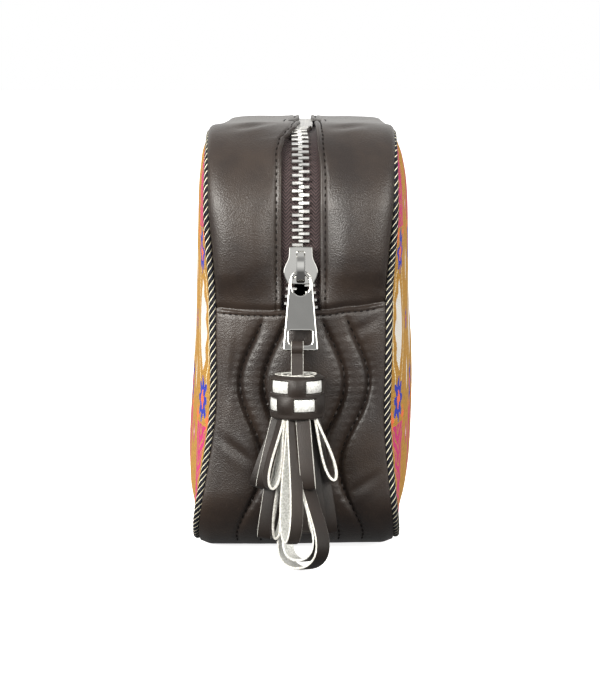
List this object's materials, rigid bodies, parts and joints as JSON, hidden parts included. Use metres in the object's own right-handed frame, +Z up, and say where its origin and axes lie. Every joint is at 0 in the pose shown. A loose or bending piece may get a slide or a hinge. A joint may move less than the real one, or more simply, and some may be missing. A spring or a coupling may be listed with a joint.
{
  "type": "clutch bag",
  "caption": "Boxy clutch bag with bulging cloth panels, corded piping, a quilted leather gusset, a metal zip over the top and a pull tab with a looped leather tassel.",
  "frame": {"origin": "middle of the base, on the surface the bag stands on", "axes": "+Z up, +X along the bag to the end with the zip pull, +Y to the back panel"},
  "size_m": [0.3026, 0.0962, 0.1692],
  "materials": {
    "cloth": "patterned cotton weave",
    "piping": "twisted cord with pale stripes",
    "leather": "smooth soft nappa",
    "zip_tape": "woven tape",
    "zip_metal": "polished",
    "tassel_leather": "smooth lace, silver on its inner side",
    "silver_leather": "metallic"
  },
  "bodies": {
    "bag": {"front_panel": "cloth", "back_panel": "cloth", "front_piping": "piping", "back_piping": "piping", "front_zip_gusset": "leather", "back_zip_gusset": "leather", "base_gusset": "leather", "front_zip_tape": "zip_tape", "back_zip_tape": "zip_tape", "zip_chain": "zip_metal", "zip_slider": "zip_metal"},
    "pull": {"pull_tab": "zip_metal"},
    "tassel_drop": {"tassel_strap": "tassel_leather", "tassel": "tassel_leather", "silver_band_upper": "silver_leather", "silver_band_lower": "silver_leather"}
  },
  "joints": [
    {"name": "pull_swing", "type": "hinge", "parent": "bag", "child": "pull", "pos_m": [0.1367, 0, 0.1102], "axis": [0, -1, 0], "range_deg": [0, 100]},
    {"name": "tassel_hang", "type": "hinge", "parent": "pull", "child": "tassel_drop", "pos_m": [0.1436, 0, 0.08255], "axis": [0, -1, 0], "range_deg": [-100, 0]}
  ],
  "couplings": [
    {"joint": "pull_swing", "follows": "tassel_hang", "ratio": -1}
  ]
}
